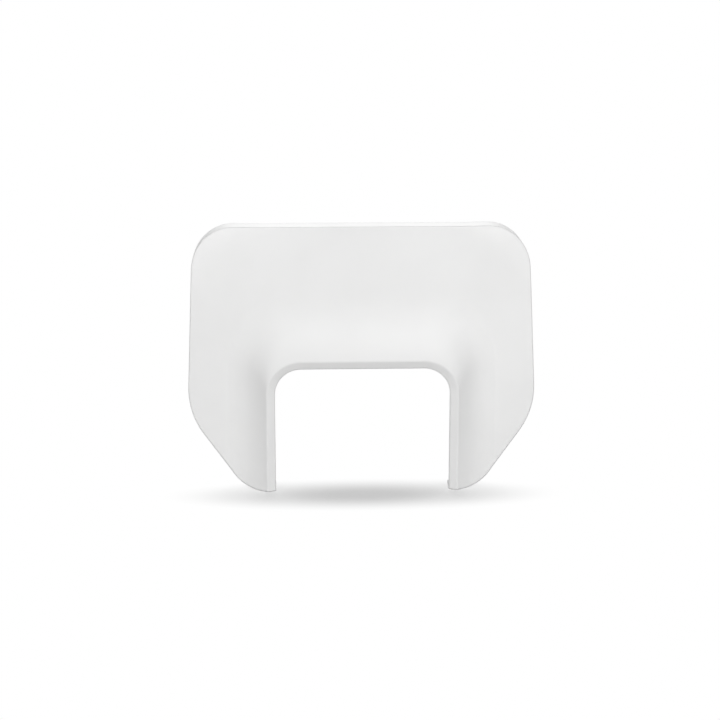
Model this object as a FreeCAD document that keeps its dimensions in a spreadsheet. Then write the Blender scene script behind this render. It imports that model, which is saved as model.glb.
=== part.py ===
"""Headlight mask for a motorbike: one moulded plastic shell around a lamp notch.

Frame: +Z up, the front faces -Y, +X is the right-hand side seen from the front.  The origin is the
centre of the four screw bosses, in the plane of their end faces, on the mask's plane of symmetry.

The shell is modelled as its mould makes it.  A blank with the mask's outline is faced by the front
form, the lamp notch is cut and its crest is rounded; then the core, one wall smaller, hollows it.
"""
import FreeCAD, Part
import os
from collections import namedtuple
from math import pi

import Sketcher
from FreeCAD import Placement, Rotation, Vector

NODE = "headlight_mask"

SIZES = {
    # Outline seen from the front, at its sharp corners; heights are taken from the foot
    "overall_height": 190.6,
    "top_half_width": 121.8,
    "wing_half_width": 127.2,
    "wing_height": 56.2,
    "foot_half_width": 86.0,
    "top_corner_radius": 31.0,
    "wing_corner_radius": 55.0,
    "foot_corner_radius": 26.0,
    # Lamp notch and the lip that turns into it
    "notch_half_width": 63.4,
    "notch_height": 91.9,
    "notch_corner_radius": 19.0,
    "lip_width": 6.0,
    "lip_setback": 3.0,
    # Flare that sweeps forward from the panel to the crest around the notch
    "foot_rise": 10.5,
    "panel_lean": 6.0,
    "leg_flare_width": 28.0,
    "brow_flare_width": 52.0,
    "flare_corner_radius": 60.0,
    # Panel's top corners, which curl back outside a wide bend
    "curl_bend_radius": 85.0,
    "curl_clear": 2.0,
    "curl_reach": 33.0,
    "curl_fall": 16.0,
    # Moulded wall and edges
    "wall": 2.5,
    "skirt_depth": 16.0,
    "crest_radius": 1.0,
    # Screw bosses on the back, with the webs that brace them
    "seat_depth": 42.0,
    "datum_height": 94.0,
    "boss_spacing_wide": 176.0,
    "boss_spacing_high": 105.0,
    "boss_diameter": 10.0,
    "pilot_diameter": 4.2,
    "pilot_depth": 11.0,
    "web_span": 24.0,
    "web_thickness": 2.0,
    "web_height": 9.0,
    # Room that the cutting forms leave around the mask
    "form_room": 30.0,
}

# Stations of the flare from panel to crest: share of the rise that is done, and the shares of the
# flare's width that are left on the legs and on the brow.
FLARE_LAW = [
    ("panel", 0, 1, 1),
    ("low", 0.078, 0.75, 0.85),
    ("middle", 0.25, 0.50, 0.675),
    ("high", 0.5625, 0.25, 0.455),
    ("upper", 0.80, 0.105, 0.27),
    ("crest", 1, 0, 0),
]

# Stations of the corner curl from its end in to the panel: shares of its reach and of its fall.
CURL_LAW = [("curl_end", 1, 1), ("curl_middle", 0.5, 0.2), ("curl_start", 0, 0)]

# The four bosses: right or left, upper or lower.
BOSS_PLACES = [(1, 1), (-1, 1), (1, -1), (-1, -1)]

# Two places closer than this, in mm, count as the same one.
NEAR = 0.1

# One arch of a form: expressions for its half width, height, corner radius, depth, tilt and how far
# its legs run below the foot.
Arch = namedtuple("Arch", "name half top radius depth tilt below")

doc = FreeCAD.newDocument(NODE)


def add_sheet():
    """Spreadsheet with one aliased cell for each driving size."""
    sheet = doc.addObject("Spreadsheet::Sheet", "sizes")
    for row, (alias, value) in enumerate(SIZES.items(), start=1):
        sheet.set(f"A{row}", alias)
        sheet.set(f"B{row}", str(value))
        sheet.setAlias(f"B{row}", alias)
    doc.recompute()


def size(alias):
    """Expression for one cell of the sheet."""
    return f"sizes.{alias}"


def front_sketch(body, name, depth, tilt="0"):
    """Sketch facing forward, its origin at the foot; depth is measured back from the crest plane."""
    sketch = body.newObject("Sketcher::SketchObject", name)
    plane = next(p for p in body.Origin.OriginFeatures if p.Role == "XZ_Plane")
    sketch.AttachmentSupport = [(plane, "")]
    sketch.MapMode = "FlatFace"
    sketch.AttachmentOffset = Placement(Vector(0, 0, 0), Rotation(Vector(-1, 0, 0), 1))
    sketch.setExpression("AttachmentOffset.Base.y", f"-{size('datum_height')}")
    sketch.setExpression("AttachmentOffset.Base.z", f"{size('seat_depth')} - ({depth})")
    sketch.setExpression("AttachmentOffset.Rotation.Angle", tilt)
    return sketch


def relate(sketch, *constraint):
    """Add a constraint that has no size."""
    sketch.addConstraint(Sketcher.Constraint(*constraint))


def dimension(sketch, expression, *constraint):
    """Add a constraint whose size is bound to an expression."""
    value = float(sketch.evalExpression(expression))
    index = sketch.addConstraint(Sketcher.Constraint(*constraint, value))
    sketch.setExpression(f"Constraints[{index}]", expression)


def arch_sketch(body, arch):
    """Closed arch: straight legs that run below the foot, round shoulders and a level top."""
    sketch = front_sketch(body, arch.name, arch.depth, arch.tilt)
    sizes = (arch.half, arch.top, arch.radius, arch.below)
    half, top, radius, below = (float(sketch.evalExpression(text)) for text in sizes)
    spring, shoulder = top - radius, half - radius
    axis = Vector(0, 0, 1)
    right = Part.Circle(Vector(shoulder, spring), axis, radius)
    left = Part.Circle(Vector(-shoulder, spring), axis, radius)
    sketch.addGeometry([
        Part.LineSegment(Vector(-half, -below), Vector(half, -below)),
        Part.LineSegment(Vector(half, -below), Vector(half, spring)),
        Part.ArcOfCircle(right, 0, pi / 2),
        Part.LineSegment(Vector(shoulder, top), Vector(-shoulder, top)),
        Part.ArcOfCircle(left, pi / 2, pi),
        Part.LineSegment(Vector(-half, spring), Vector(-half, -below)),
    ])
    relate(sketch, "Coincident", 0, 2, 1, 1)
    relate(sketch, "Coincident", 5, 2, 0, 1)
    for edge in range(1, 5):
        relate(sketch, "Tangent", edge, 2, edge + 1, 1)
    relate(sketch, "Horizontal", 3)
    relate(sketch, "Vertical", 1)
    relate(sketch, "Vertical", 5)
    relate(sketch, "Symmetric", 0, 1, 0, 2, -2)
    relate(sketch, "Equal", 2, 4)
    dimension(sketch, arch.half, "DistanceX", -1, 1, 1, 1)
    dimension(sketch, arch.top, "DistanceY", -1, 1, 3, 1)
    dimension(sketch, arch.radius, "Radius", 2)
    dimension(sketch, arch.below, "DistanceY", 0, 1, -1, 1)
    return sketch


def pad(body, sketch, length, backward=False):
    """Pad a sketch forward, or backward away from the viewer."""
    feature = body.newObject("PartDesign::Pad", f"{sketch.Name}_pad")
    feature.Profile = sketch
    feature.Reversed = backward
    feature.setExpression("Length", length)
    doc.recompute()


def loft(body, name, sketches, kind="AdditiveLoft", ruled=False):
    """Loft through a row of sketches, added to the body or taken from it."""
    feature = body.newObject(f"PartDesign::{kind}", name)
    feature.Profile = sketches[0]
    feature.Sections = sketches[1:]
    feature.Ruled = ruled
    doc.recompute()


def fillet(body, name, edges, radius):
    """Round some edges of the body's last feature."""
    feature = body.newObject("PartDesign::Fillet", name)
    feature.Base = (feature.BaseFeature, edges)
    feature.setExpression("Radius", size(radius))
    doc.recompute()


def boolean(kind, name, base, tool):
    """Part boolean of two objects."""
    result = doc.addObject(f"Part::{kind}", name)
    result.Base = base
    result.Tool = tool
    doc.recompute()
    return result


def curl_stations():
    """Arches of the corner curl, which leaves the panel's plane along a curve."""
    clear = size("curl_clear")
    stations = []
    for name, out, back in CURL_LAW:
        reach = f"{size('curl_reach')} * {out}"
        stations.append(Arch(
            name,
            f"{size('wing_half_width')} + {clear} + {reach}",
            f"{size('overall_height')} + {clear} + {reach}",
            f"{size('curl_bend_radius')} + {reach}",
            f"{size('foot_rise')} + {size('curl_fall')} * {back}",
            size("panel_lean"),
            f"2 * {size('form_room')}",
        ))
    return stations


def flare_stations():
    """Arches of the flare, from the panel forward to the crest."""
    crest_half = f"{size('notch_half_width')} + {size('lip_width')}"
    crest_top = f"{size('notch_height')} + {size('lip_width')}"
    crest_bend = f"{size('notch_corner_radius')} + {size('lip_width')}"
    stations = []
    for name, risen, leg, brow in FLARE_LAW:
        bend_growth = f"({size('flare_corner_radius')} - ({crest_bend})) * {(leg + brow) / 2}"
        stations.append(Arch(
            name,
            f"{crest_half} + {size('leg_flare_width')} * {leg}",
            f"{crest_top} + {size('brow_flare_width')} * {brow}",
            f"{crest_bend} + {bend_growth}",
            f"{size('foot_rise')} * {1 - risen}",
            f"{size('panel_lean')} * {1 - risen}",
            size("form_room"),
        ))
    return stations


def moved_back(stations, distance):
    """Stations moved straight back by a distance."""
    return [arch._replace(depth=f"{arch.depth} + {distance}") for arch in stations]


def depth_at(arch, height):
    """Depth of a leaning arch at a height above the foot."""
    return f"({arch.depth} + ({height}) * tan({arch.tilt}))"


def flare_core(flare):
    """The flare moved one wall inwards, square to the skin on the legs and on the brow."""
    wall = size("wall")
    leg_middle = f"{size('notch_height')} / 2"
    moved = moved_back(flare[:1], wall)
    for outer, arch, inner in zip(flare, flare[1:], flare[2:] + flare[-1:]):
        leg_rise = f"({depth_at(outer, leg_middle)} - {depth_at(inner, leg_middle)})"
        brow_rise = f"({depth_at(outer, outer.top)} - {depth_at(inner, inner.top)})"
        leg_slope = f"atan({leg_rise} / ({outer.half} - ({inner.half})))"
        brow_slope = f"atan({brow_rise} / ({outer.top} - ({inner.top})))"
        turn = f"{wall} * (cos({brow_slope}) - cos({leg_slope})) / ({arch.top})"
        moved.append(Arch(
            arch.name,
            f"{arch.half} - {wall} * sin({leg_slope})",
            f"{arch.top} - {wall} * sin({brow_slope})",
            f"{arch.radius} - {wall} * (sin({leg_slope}) + sin({brow_slope})) / 2",
            f"{arch.depth} + {wall} * cos({leg_slope})",
            f"atan(tan({arch.tilt}) + {turn})",
            arch.below,
        ))
    return moved


def arch_sketches(body, stations):
    """A sketch for each station, named after the body."""
    sketches = [arch_sketch(body, arch._replace(name=f"{body.Name}_{arch.name}")) for arch in stations]
    doc.recompute()
    return sketches


def skin_form(name, curl, flare):
    """Solid behind the skin: curled panel and flare, carried on back past the whole mask."""
    body = doc.addObject("PartDesign::Body", name)
    curl_sketches = arch_sketches(body, curl)
    loft(body, f"{name}_curl", curl_sketches)
    pad(body, curl_sketches[0], f"{size('seat_depth')} + {size('form_room')}", backward=True)
    loft(body, f"{name}_flare", arch_sketches(body, flare))
    return body


def outline_sketch(body):
    """Six-sided outline of the mask at its sharp corners."""
    sketch = front_sketch(body, "outline", f"{size('seat_depth')} + {size('form_room')}")
    corners = [("foot_half_width", None), ("wing_half_width", "wing_height"),
               ("top_half_width", "overall_height")]
    right = [Vector(SIZES[across], SIZES[up] if up else 0) for across, up in corners]
    ring = right + [Vector(-point.x, point.y) for point in reversed(right)]
    last = len(ring) - 1
    for index, point in enumerate(ring):
        sketch.addGeometry(Part.LineSegment(point, ring[(index + 1) % len(ring)]))
    for index in range(len(ring)):
        relate(sketch, "Coincident", index, 2, (index + 1) % len(ring), 1)
    for index, (across, up) in enumerate(corners):
        relate(sketch, "Symmetric", index, 1, last - index, 1, -2)
        dimension(sketch, size(across), "DistanceX", -1, 1, index, 1)
        if up:
            dimension(sketch, size(up), "DistanceY", -1, 1, index, 1)
        else:
            relate(sketch, "PointOnObject", index, 1, -1)
    doc.recompute()
    return sketch


def edges_along_y(shape, height):
    """Names of the edges that run front to back at this height above the foot."""
    level = height - SIZES["datum_height"]
    names = []
    for number, edge in enumerate(shape.Edges, start=1):
        box = edge.BoundBox
        if box.YLength > SIZES["seat_depth"] and box.ZLength < NEAR and abs(box.ZMin - level) < NEAR:
            names.append(f"Edge{number}")
    return names


def outline_blank():
    """Thick blank with the outline of the mask and round corners."""
    body = doc.addObject("PartDesign::Body", "blank")
    pad(body, outline_sketch(body), f"{size('seat_depth')} + 2 * {size('form_room')}")
    for height, corner in ((SIZES["overall_height"], "top_corner"), (SIZES["wing_height"], "wing_corner"),
                           (0, "foot_corner")):
        fillet(body, f"{corner}_round", edges_along_y(body.Shape, height), f"{corner}_radius")
    return body


def notch_arch(name, depth, grown="0"):
    """Arch of the lamp notch, or one that lies a distance outside it."""
    return Arch(name, f"{size('notch_half_width')} + {grown}", f"{size('notch_height')} + {grown}",
                f"{size('notch_corner_radius')} + {grown}", depth, "0", size("form_room"))


def cut_lamp_notch(body):
    """Bevel the lip from the crest in to the notch, and open the notch right through."""
    crest = doc.getObject(f"{body.Name}_crest")
    edge = arch_sketches(body, [notch_arch("notch", size("lip_setback"))])[0]
    loft(body, "lip_bevel", [crest, edge], kind="SubtractiveLoft", ruled=True)
    notch = body.newObject("PartDesign::Pocket", "lamp_notch")
    notch.Profile = edge
    notch.setExpression("Length", f"2 * ({size('seat_depth')} + {size('form_room')})")
    doc.recompute()


def lip_plug():
    """Space ahead of the lip's inner face, where the core may not reach."""
    body = doc.addObject("PartDesign::Body", "lip_plug")
    lip_wall = f"{size('wall')} / cos(atan({size('lip_setback')} / {size('lip_width')}))"
    ahead = notch_arch("ahead", f"{lip_wall} - {size('lip_setback')}", f"2 * {size('lip_width')}")
    edge = notch_arch("edge", f"{lip_wall} + {size('lip_setback')}")
    loft(body, "lip_plug_bevel", arch_sketches(body, [ahead, edge]), ruled=True)
    return body


def crest_edges(shape):
    """Names of the edges along the crest, where the skin meets the lip."""
    front = NEAR - SIZES["seat_depth"]
    numbered = enumerate(shape.Edges, start=1)
    return [f"Edge{number}" for number, edge in numbered if edge.BoundBox.YMax < front]


def moulding(block):
    """The faced blank with its crest rounded."""
    body = doc.addObject("PartDesign::Body", "moulding")
    body.BaseFeature = block
    doc.recompute()
    fillet(body, "crest_round", crest_edges(body.Shape), "crest_radius")
    return body


def boss_height(level):
    """Height above the foot of the upper or the lower bosses."""
    return f"({size('datum_height')} + {level} * {size('boss_spacing_high')} / 2)"


def boss_pins(name, diameter, length):
    """Four round pins forward from the boss seats."""
    body = doc.addObject("PartDesign::Body", name)
    sketch = front_sketch(body, f"{name}_circles", size("seat_depth"))
    across = f"{size('boss_spacing_wide')} / 2"
    for index, (side, level) in enumerate(BOSS_PLACES):
        height = boss_height(level)
        middle = Vector(side * sketch.evalExpression(across), sketch.evalExpression(height))
        sketch.addGeometry(Part.Circle(middle, Vector(0, 0, 1), SIZES[diameter] / 2))
        ends = (-1, 1, index, 3) if side > 0 else (index, 3, -1, 1)
        dimension(sketch, across, "DistanceX", *ends)
        dimension(sketch, height, "DistanceY", -1, 1, index, 3)
        dimension(sketch, size(diameter), "Diameter", index)
    doc.recompute()
    pad(body, sketch, length)
    return body


def boss_web(name, side, level, wide, high):
    """One upright or level web across a boss, standing as high off the panel as all the others."""
    panel_depth = f"({size('foot_rise')} + {boss_height(level)} * tan({size('panel_lean')}))"
    web_depth = f"({panel_depth} + {size('wall')} + {size('web_height')})"
    web = doc.addObject("Part::Box", name)
    web.setExpression("Length", size(wide))
    web.setExpression("Width", web_depth)
    web.setExpression("Height", size(high))
    web.setExpression("Placement.Base.x", f"({side} * {size('boss_spacing_wide')} - {size(wide)}) / 2")
    web.setExpression("Placement.Base.y", f"-{size('seat_depth')}")
    web.setExpression("Placement.Base.z", f"({level} * {size('boss_spacing_high')} - {size(high)}) / 2")
    return web


def boss_webs():
    """A level and an upright web across each boss."""
    webs = []
    for side, level in BOSS_PLACES:
        webs.append(boss_web("level_web", side, level, "web_span", "web_thickness"))
        webs.append(boss_web("upright_web", side, level, "web_thickness", "web_span"))
    joined = doc.addObject("Part::MultiFuse", "webs")
    joined.Shapes = webs
    doc.recompute()
    return joined


def core_blank(blank):
    """The blank made smaller by one wall all round."""
    inset = doc.addObject("Part::Offset", "core_blank")
    inset.Source = blank
    inset.Join = "Intersection"
    inset.setExpression("Value", f"-{size('wall')}")
    doc.recompute()
    return inset


def core_tool(blank, curl, flare):
    """What the mould's core takes up: the hollow, less the lip and the bosses that stand in it."""
    inner_form = skin_form("inner_form", moved_back(curl, size("wall")), flare_core(flare))
    hollow = boolean("Common", "hollow", core_blank(blank), inner_form)
    skirt = size("skirt_depth")
    rear_form = skin_form("rear_form", moved_back(curl, skirt), moved_back(flare, skirt))
    behind = boolean("Fuse", "behind", hollow, rear_form)
    lipped = boolean("Cut", "lipped", behind, lip_plug())
    bosses = boss_pins("bosses", "boss_diameter", f"{size('seat_depth')} + {size('form_room')}")
    return boolean("Cut", "core", lipped, boolean("Fuse", "braced_bosses", bosses, boss_webs()))


def build():
    """The whole mask, as one moulding."""
    add_sheet()
    curl = curl_stations()
    flare = flare_stations()
    blank = outline_blank()
    front_form = skin_form("front_form", curl, flare)
    cut_lamp_notch(front_form)
    block = boolean("Common", "block", blank, front_form)
    shell = boolean("Cut", "shell", moulding(block), core_tool(blank, curl, flare))
    mask = boolean("Cut", NODE, shell, boss_pins("pilots", "pilot_diameter", size("pilot_depth")))
    mask.Label = NODE
    return mask


def check(mask):
    """Stop if any object failed, or a form or the mask isn't a sound solid."""
    failed = [obj.Name for obj in doc.Objects if {"Invalid", "Error"} & set(obj.State)]
    if failed:
        raise RuntimeError(f"objects in error: {failed}")
    forms = [obj for obj in doc.Objects if obj.isDerivedFrom("Part::BodyBase")]
    unsound = [obj.Name for obj in forms if not (obj.Shape.Solids and obj.Shape.isValid())]
    if unsound:
        raise RuntimeError(f"forms without a sound solid: {unsound}")
    if mask.Shape.isNull() or not mask.Shape.isValid():
        raise RuntimeError(f"{mask.Label} has no valid shape")
    if len(mask.Shape.Solids) != 1:
        raise RuntimeError(f"{mask.Label} is {len(mask.Shape.Solids)} solids, not one")


mask = build()
check(mask)
os.makedirs("parts", exist_ok=True)
mask.Shape.exportStep(f"parts/{NODE}.step")
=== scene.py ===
"""Studio scene of the headlight mask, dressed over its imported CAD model."""
from math import atan, cos, radians, sin

import bpy
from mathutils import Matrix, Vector


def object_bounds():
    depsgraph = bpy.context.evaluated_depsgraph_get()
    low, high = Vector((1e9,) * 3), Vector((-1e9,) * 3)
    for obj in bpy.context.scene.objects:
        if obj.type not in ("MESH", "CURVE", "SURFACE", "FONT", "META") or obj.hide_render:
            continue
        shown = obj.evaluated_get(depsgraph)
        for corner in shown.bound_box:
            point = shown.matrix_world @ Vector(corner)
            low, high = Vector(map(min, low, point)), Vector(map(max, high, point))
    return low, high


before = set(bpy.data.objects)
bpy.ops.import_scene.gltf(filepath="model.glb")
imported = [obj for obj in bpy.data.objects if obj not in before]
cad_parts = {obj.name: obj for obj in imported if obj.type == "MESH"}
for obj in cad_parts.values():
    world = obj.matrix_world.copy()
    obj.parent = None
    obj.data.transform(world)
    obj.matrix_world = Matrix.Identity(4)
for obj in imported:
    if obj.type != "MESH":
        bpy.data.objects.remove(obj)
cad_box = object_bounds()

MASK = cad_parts["headlight_mask"]
FLOOR_HEIGHT = cad_box[0][2]
WHITE = (1.0, 1.0, 1.0, 1.0)
UP = (0.0, 0.0, 1.0)

# Camera: the photograph's viewing angle and its long lens
CAMERA_ELEVATION = radians(15.0)
CAMERA_YAW = radians(-2.04)
CAMERA_DISTANCE = 1.3
CAMERA_TARGET = Vector((-0.0012, -0.020, -0.0005))
IMAGE_SIZE = 720
FOCAL_PIXELS = 1780.4

# Light: the world's strength as soft light, the strength that shows as white, and the soft boxes
WORLD_STRENGTH = 0.26
WHITE_STRENGTH = 1.0
SOFT_BOXES = {
    "left_box": {"place": (-0.60, -1.20, 0.95), "width": 0.7, "height": 0.7, "watts": 8.5},
    "right_box": {"place": (0.60, -1.20, 0.95), "width": 0.7, "height": 0.7, "watts": 9.7},
    "back_box": {"place": (0.0, 0.75, 0.60), "width": 0.6, "height": 0.3, "watts": 3.1},
}

# The mask's plastic: its mottled colour and uneven roughness, each between two values and driven by
# a noise of a scale and detail, over the middle of the noise's range
PLASTIC_LIGHT = (0.88, 0.88, 0.877, 1.0)
PLASTIC_DARK = (0.85, 0.85, 0.847, 1.0)
MOTTLE_NOISE = (14.0, 3.0)
ROUGHNESS_DULL = (0.52, 0.52, 0.52, 1.0)
ROUGHNESS_BRIGHT = (0.44, 0.44, 0.44, 1.0)
SHEEN_NOISE = (40.0, 4.0)
NOISE_MIDDLE = (0.35, 0.65)
PLASTIC_IOR = 1.49
SUBSURFACE_WEIGHT = 0.05
SUBSURFACE_RADIUS = (0.002, 0.002, 0.002)
SUBSURFACE_SCALE = 1.0

# Its fine grain, and its edges: how wide they are rounded and how much further the normal turns
GRAIN_SIZE = 0.0006
GRAIN_HEIGHT = 0.00001
GRAIN_DETAIL = 2.0
GRAIN_STRENGTH = 0.5
EDGE_ROUND = 0.0016
EDGE_TURN = 1.5
EDGE_SAMPLES = 8

# The flare leaves the flat panel along an arch with round shoulders. On the brow, over SOFT_REACH in
# from the arch, its normal turns from near the panel's to its own. The softening also covers a
# narrow margin of the panel, and only faces that look forward.
PANEL_LEAN = radians(6.0)
PANEL_NORMAL = (0.0, -cos(PANEL_LEAN), sin(PANEL_LEAN))
FLARE_HALF_WIDTH = 0.0974
FLARE_TOP = 0.0551
SHOULDER_RADIUS = 0.060
SHOULDER_CENTRE = (FLARE_HALF_WIDTH - SHOULDER_RADIUS, 0.0, FLARE_TOP - SHOULDER_RADIUS)
SOFT_REACH = 0.050
SOFT_SHARE = 0.85
PANEL_MARGIN = 0.004
FACING_FRONT = 0.5

# Factors that lay a place flat on the front plane, as it is or mirrored from left to right
FRONT_PLANE = (1.0, 0.0, 1.0)
FRONT_MIRRORED = (-1.0, 0.0, 1.0)
ZERO = (0.0, 0.0, 0.0)

# The floor: its colour, and the oval about the feet, which is partly a painted shadow. Inside it the
# matt floor shows its lit shade and real shadow, and stays greyer than the white painted outside it,
# where real shadows are hidden. The fade is in shares of the oval's radii
FLOOR_SIZE = 8.0
FLOOR_COLOUR = (0.68, 0.68, 0.68, 1.0)
SHADOW_OVAL_CENTRE = (0.0, -0.049, 0.0)
SHADOW_OVAL_RADII = (0.150, 0.038, 1.0)
SHADOW_OVAL_FADE = (0.1, 1.0)


def new_material(name):
    """A material with an empty node tree and its output node."""
    material = bpy.data.materials.new(name)
    material.use_nodes = True
    tree = material.node_tree
    tree.nodes.clear()
    return material, tree, tree.nodes.new("ShaderNodeOutputMaterial")


def add_node(tree, kind, **inputs):
    """A shader node with some of its inputs set; spaces in their names are written as underscores."""
    node = tree.nodes.new(kind)
    for name, value in inputs.items():
        node.inputs[name.replace("_", " ")].default_value = value
    return node


def feed(tree, node, inputs):
    """Give a node's inputs, in turn, a plain value or another node's output."""
    for socket, source in zip(node.inputs, inputs):
        if isinstance(source, bpy.types.NodeSocket):
            tree.links.new(source, socket)
        else:
            socket.default_value = source


def vector_math(tree, operation, *inputs):
    """Result of a Vector Math node on plain vectors and other nodes' outputs."""
    node = tree.nodes.new("ShaderNodeVectorMath")
    node.operation = operation
    feed(tree, node, inputs)
    return node.outputs["Value" if operation in ("DOT_PRODUCT", "LENGTH") else "Vector"]


def scalar_math(tree, operation, *inputs):
    """Result of a Math node on plain numbers and other nodes' outputs."""
    node = tree.nodes.new("ShaderNodeMath")
    node.operation = operation
    feed(tree, node, inputs)
    return node.outputs["Value"]


def map_range(tree, value, old, new=(0.0, 1.0), kind="LINEAR"):
    """A node's output moved from an old range to a new one, and held at the ends."""
    node = add_node(tree, "ShaderNodeMapRange",
                    From_Min=old[0], From_Max=old[1], To_Min=new[0], To_Max=new[1])
    node.interpolation_type = kind
    tree.links.new(value, node.inputs["Value"])
    return node.outputs["Result"]


def noise(tree, scale, detail):
    """Noise in the mask's own coordinates."""
    place = tree.nodes.new("ShaderNodeTexCoord")
    texture = add_node(tree, "ShaderNodeTexNoise", Scale=scale, Detail=detail)
    tree.links.new(place.outputs["Object"], texture.inputs["Vector"])
    return texture.outputs["Fac"]


def ramp(tree, factor, low, high):
    """Colour that goes from low to high over the middle of a noise's range."""
    node = tree.nodes.new("ShaderNodeValToRGB")
    for end, position, colour in zip(node.color_ramp.elements, NOISE_MIDDLE, (low, high)):
        end.position = position
        end.color = colour
    tree.links.new(factor, node.inputs["Fac"])
    return node.outputs["Color"]


def round_edges(tree, surface):
    """Surface normal with narrow rounded edges that turn about as far as a full round does."""
    bevel = add_node(tree, "ShaderNodeBevel", Radius=EDGE_ROUND)
    bevel.samples = EDGE_SAMPLES
    bend = vector_math(tree, "SUBTRACT", bevel.outputs["Normal"], surface)
    further = vector_math(tree, "MULTIPLY", bend, (EDGE_TURN, EDGE_TURN, EDGE_TURN))
    return vector_math(tree, "NORMALIZE", vector_math(tree, "ADD", surface, further))


def from_shoulder(tree):
    """Vector in the front plane, out and up from the centre of the nearer shoulder of the arch."""
    place = tree.nodes.new("ShaderNodeTexCoord").outputs["Object"]
    right = vector_math(tree, "MULTIPLY", place, FRONT_PLANE)
    left = vector_math(tree, "MULTIPLY", place, FRONT_MIRRORED)
    folded = vector_math(tree, "MAXIMUM", right, left)
    return vector_math(tree, "MAXIMUM", vector_math(tree, "SUBTRACT", folded, SHOULDER_CENTRE), ZERO)


def soft_share(tree, normal):
    """Share of the panel's normal on the front of the flare: most where it starts on the brow."""
    outward = from_shoulder(tree)
    radius = vector_math(tree, "LENGTH", outward)
    share = map_range(tree, radius, (SHOULDER_RADIUS - SOFT_REACH, SHOULDER_RADIUS), (0.0, SOFT_SHARE))
    inside = scalar_math(tree, "LESS_THAN", radius, SHOULDER_RADIUS + PANEL_MARGIN)
    upward = vector_math(tree, "DOT_PRODUCT", vector_math(tree, "NORMALIZE", outward), UP)
    facing = vector_math(tree, "DOT_PRODUCT", normal, PANEL_NORMAL)
    front = scalar_math(tree, "GREATER_THAN", facing, FACING_FRONT)
    for factor in (upward, inside, front):
        share = scalar_math(tree, "MULTIPLY", share, factor)
    return share


def moulded_normal(tree):
    """Normal of the moulding: its edges are rounded, and its flare starts softly on the brow."""
    normal = round_edges(tree, tree.nodes.new("ShaderNodeNewGeometry").outputs["Normal"])
    toward_panel = vector_math(tree, "SUBTRACT", PANEL_NORMAL, normal)
    turn = vector_math(tree, "MULTIPLY", toward_panel, soft_share(tree, normal))
    return vector_math(tree, "NORMALIZE", vector_math(tree, "ADD", normal, turn))


def plastic():
    """Satin white moulded plastic: faint mottling, an uneven sheen and a fine grain."""
    material, tree, output = new_material("mask_plastic")
    shader = add_node(tree, "ShaderNodeBsdfPrincipled", IOR=PLASTIC_IOR,
                      Subsurface_Weight=SUBSURFACE_WEIGHT, Subsurface_Radius=SUBSURFACE_RADIUS,
                      Subsurface_Scale=SUBSURFACE_SCALE)
    colour = ramp(tree, noise(tree, *MOTTLE_NOISE), PLASTIC_DARK, PLASTIC_LIGHT)
    roughness = ramp(tree, noise(tree, *SHEEN_NOISE), ROUGHNESS_DULL, ROUGHNESS_BRIGHT)
    grain = add_node(tree, "ShaderNodeBump", Strength=GRAIN_STRENGTH, Distance=GRAIN_HEIGHT)
    tree.links.new(noise(tree, 1 / GRAIN_SIZE, GRAIN_DETAIL), grain.inputs["Height"])
    tree.links.new(moulded_normal(tree), grain.inputs["Normal"])
    tree.links.new(colour, shader.inputs["Base Color"])
    tree.links.new(roughness, shader.inputs["Roughness"])
    tree.links.new(grain.outputs["Normal"], shader.inputs["Normal"])
    tree.links.new(shader.outputs["BSDF"], output.inputs["Surface"])
    return material


def seen_ray(tree):
    """1 for rays that show the background: seen straight, in a reflection or through glass."""
    path = tree.nodes.new("ShaderNodeLightPath")
    total = path.outputs["Is Camera Ray"]
    for kind in ("Is Glossy Ray", "Is Transmission Ray"):
        total = scalar_math(tree, "MAXIMUM", total, path.outputs[kind])
    return total


def outside_shadow_oval(tree):
    """Painted shadow oval: 0 about the mask's feet, where the matt floor shows its lit shade, rising
    smoothly to 1 at the oval's edge, where it is painted white.
    """
    place = tree.nodes.new("ShaderNodeTexCoord")
    oval = add_node(tree, "ShaderNodeMapping", Location=SHADOW_OVAL_CENTRE, Scale=SHADOW_OVAL_RADII)
    oval.vector_type = "TEXTURE"
    tree.links.new(place.outputs["Object"], oval.inputs["Vector"])
    distance = vector_math(tree, "LENGTH", oval.outputs["Vector"])
    return map_range(tree, distance, SHADOW_OVAL_FADE, kind="SMOOTHSTEP")


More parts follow.
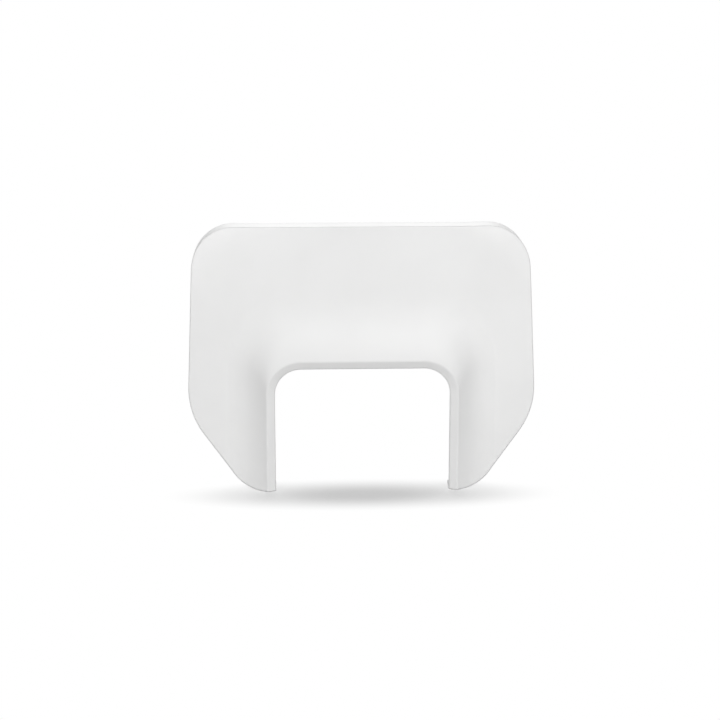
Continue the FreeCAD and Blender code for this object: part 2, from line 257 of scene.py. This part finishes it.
def floor_material():
    """Pale matt floor that shows its lit shade and the real shadow only inside a painted shadow oval
    about the feet, and is painted white outside it, like the background.
    """
    material, tree, output = new_material("floor")
    matt = add_node(tree, "ShaderNodeBsdfDiffuse", Color=FLOOR_COLOUR)
    white = add_node(tree, "ShaderNodeEmission", Color=WHITE, Strength=WHITE_STRENGTH)
    # Painted shadow: camera rays see the matt floor only inside the oval and painted white outside it
    white_share = scalar_math(tree, "MULTIPLY", seen_ray(tree), outside_shadow_oval(tree))
    both = tree.nodes.new("ShaderNodeMixShader")
    feed(tree, both, (white_share, matt.outputs["BSDF"], white.outputs["Emission"]))
    tree.links.new(both.outputs["Shader"], output.inputs["Surface"])
    return material


def add_floor():
    """Level floor under the mask's feet."""
    bpy.ops.mesh.primitive_plane_add(size=FLOOR_SIZE, location=(0, 0, FLOOR_HEIGHT))
    floor = bpy.context.object
    floor.name = "floor"
    floor.data.materials.append(floor_material())


def add_world():
    """White background that gives soft light from all round."""
    world = bpy.data.worlds.new("studio")
    bpy.context.scene.world = world
    world.use_nodes = True
    tree = world.node_tree
    background = tree.nodes["Background"]
    background.inputs["Color"].default_value = WHITE
    strength = map_range(tree, seen_ray(tree), (0.0, 1.0), (WORLD_STRENGTH, WHITE_STRENGTH))
    tree.links.new(strength, background.inputs["Strength"])


def add_soft_box(name, place, width, height, watts):
    """Rectangular lamp that faces the mask."""
    lamp = bpy.data.lights.new(name, "AREA")
    lamp.shape = "RECTANGLE"
    lamp.size = width
    lamp.size_y = height
    lamp.energy = watts
    box = bpy.data.objects.new(name, lamp)
    box.location = place
    box.rotation_euler = (-Vector(place)).to_track_quat("-Z", "Y").to_euler()
    bpy.context.collection.objects.link(box)


def add_camera():
    """Camera at the photograph's viewing angle."""
    lens = bpy.data.cameras.new("camera")
    lens.sensor_fit = "HORIZONTAL"
    lens.angle = 2 * atan(IMAGE_SIZE / 2 / FOCAL_PIXELS)
    camera = bpy.data.objects.new("camera", lens)
    level = cos(CAMERA_ELEVATION)
    back = Vector((sin(CAMERA_YAW) * level, -cos(CAMERA_YAW) * level, sin(CAMERA_ELEVATION)))
    camera.location = CAMERA_TARGET + back * CAMERA_DISTANCE
    camera.rotation_euler = (-back).to_track_quat("-Z", "Y").to_euler()
    bpy.context.collection.objects.link(camera)
    bpy.context.scene.camera = camera


MASK.data.materials.clear()
MASK.data.materials.append(plastic())
add_floor()
add_world()
for box_name, settings in SOFT_BOXES.items():
    add_soft_box(box_name, **settings)
add_camera()
bpy.context.scene.view_settings.view_transform = "Standard"
